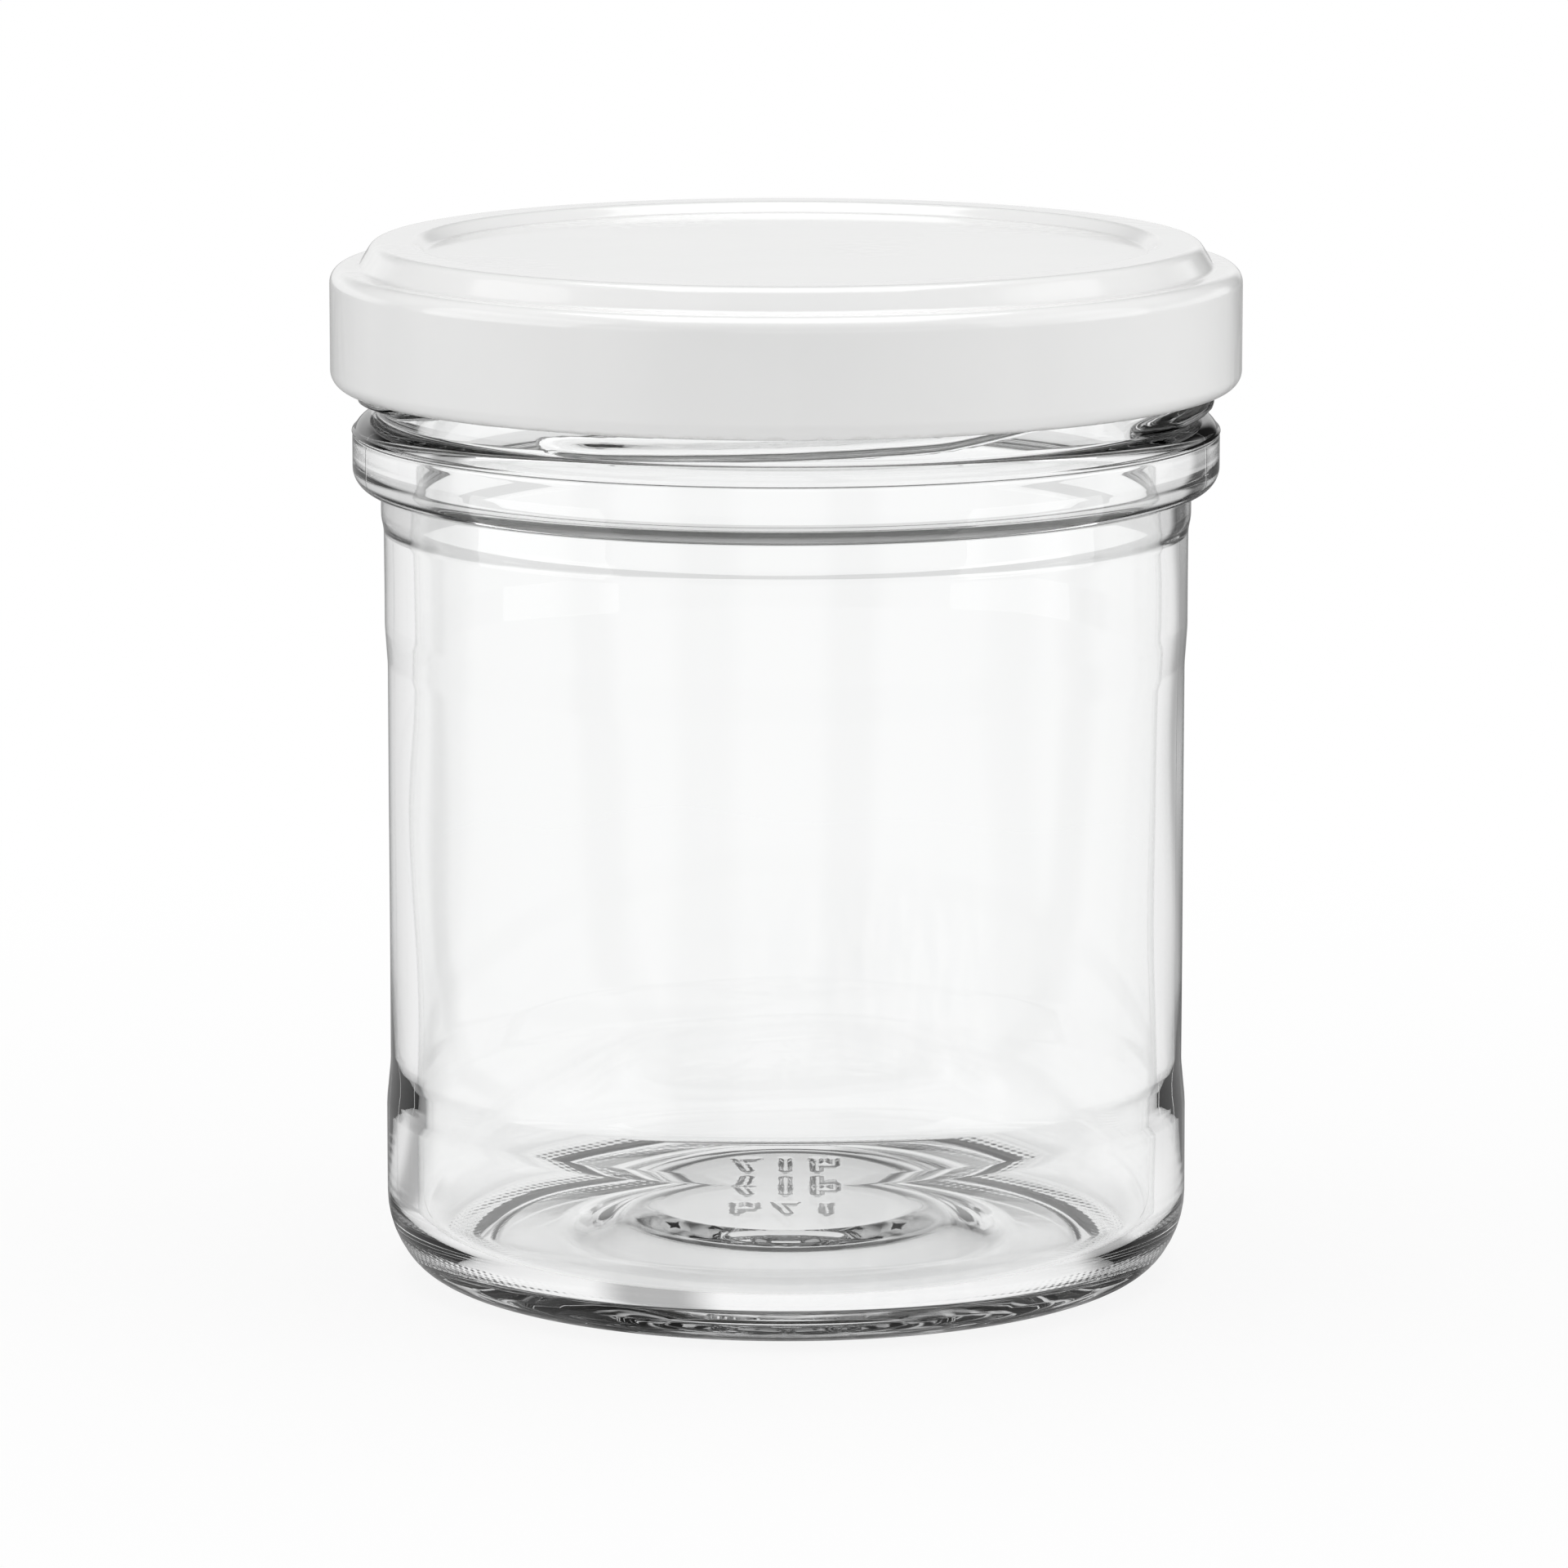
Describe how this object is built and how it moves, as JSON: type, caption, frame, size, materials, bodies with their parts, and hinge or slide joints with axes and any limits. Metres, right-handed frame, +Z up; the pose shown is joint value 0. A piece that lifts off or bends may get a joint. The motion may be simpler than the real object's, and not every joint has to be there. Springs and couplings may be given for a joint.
{
  "type": "canning jar",
  "caption": "Small clear straight-sided glass canning jar, empty, closed with a plain white twist-off metal lid.",
  "frame": {"origin": "on the ground, under the middle of the jar's standing ring", "axes": "+Z up along the jar's axis; the camera side of the jar faces -Y"},
  "size_m": [0.0698, 0.0698, 0.08],
  "materials": {
    "clear_glass": "clear flint glass, pressed and fire polished",
    "white_lacquer": "glossy white lacquered tinplate"
  },
  "bodies": {
    "root": {"jar": "clear_glass", "lid": "white_lacquer"}
  },
  "joints": []
}
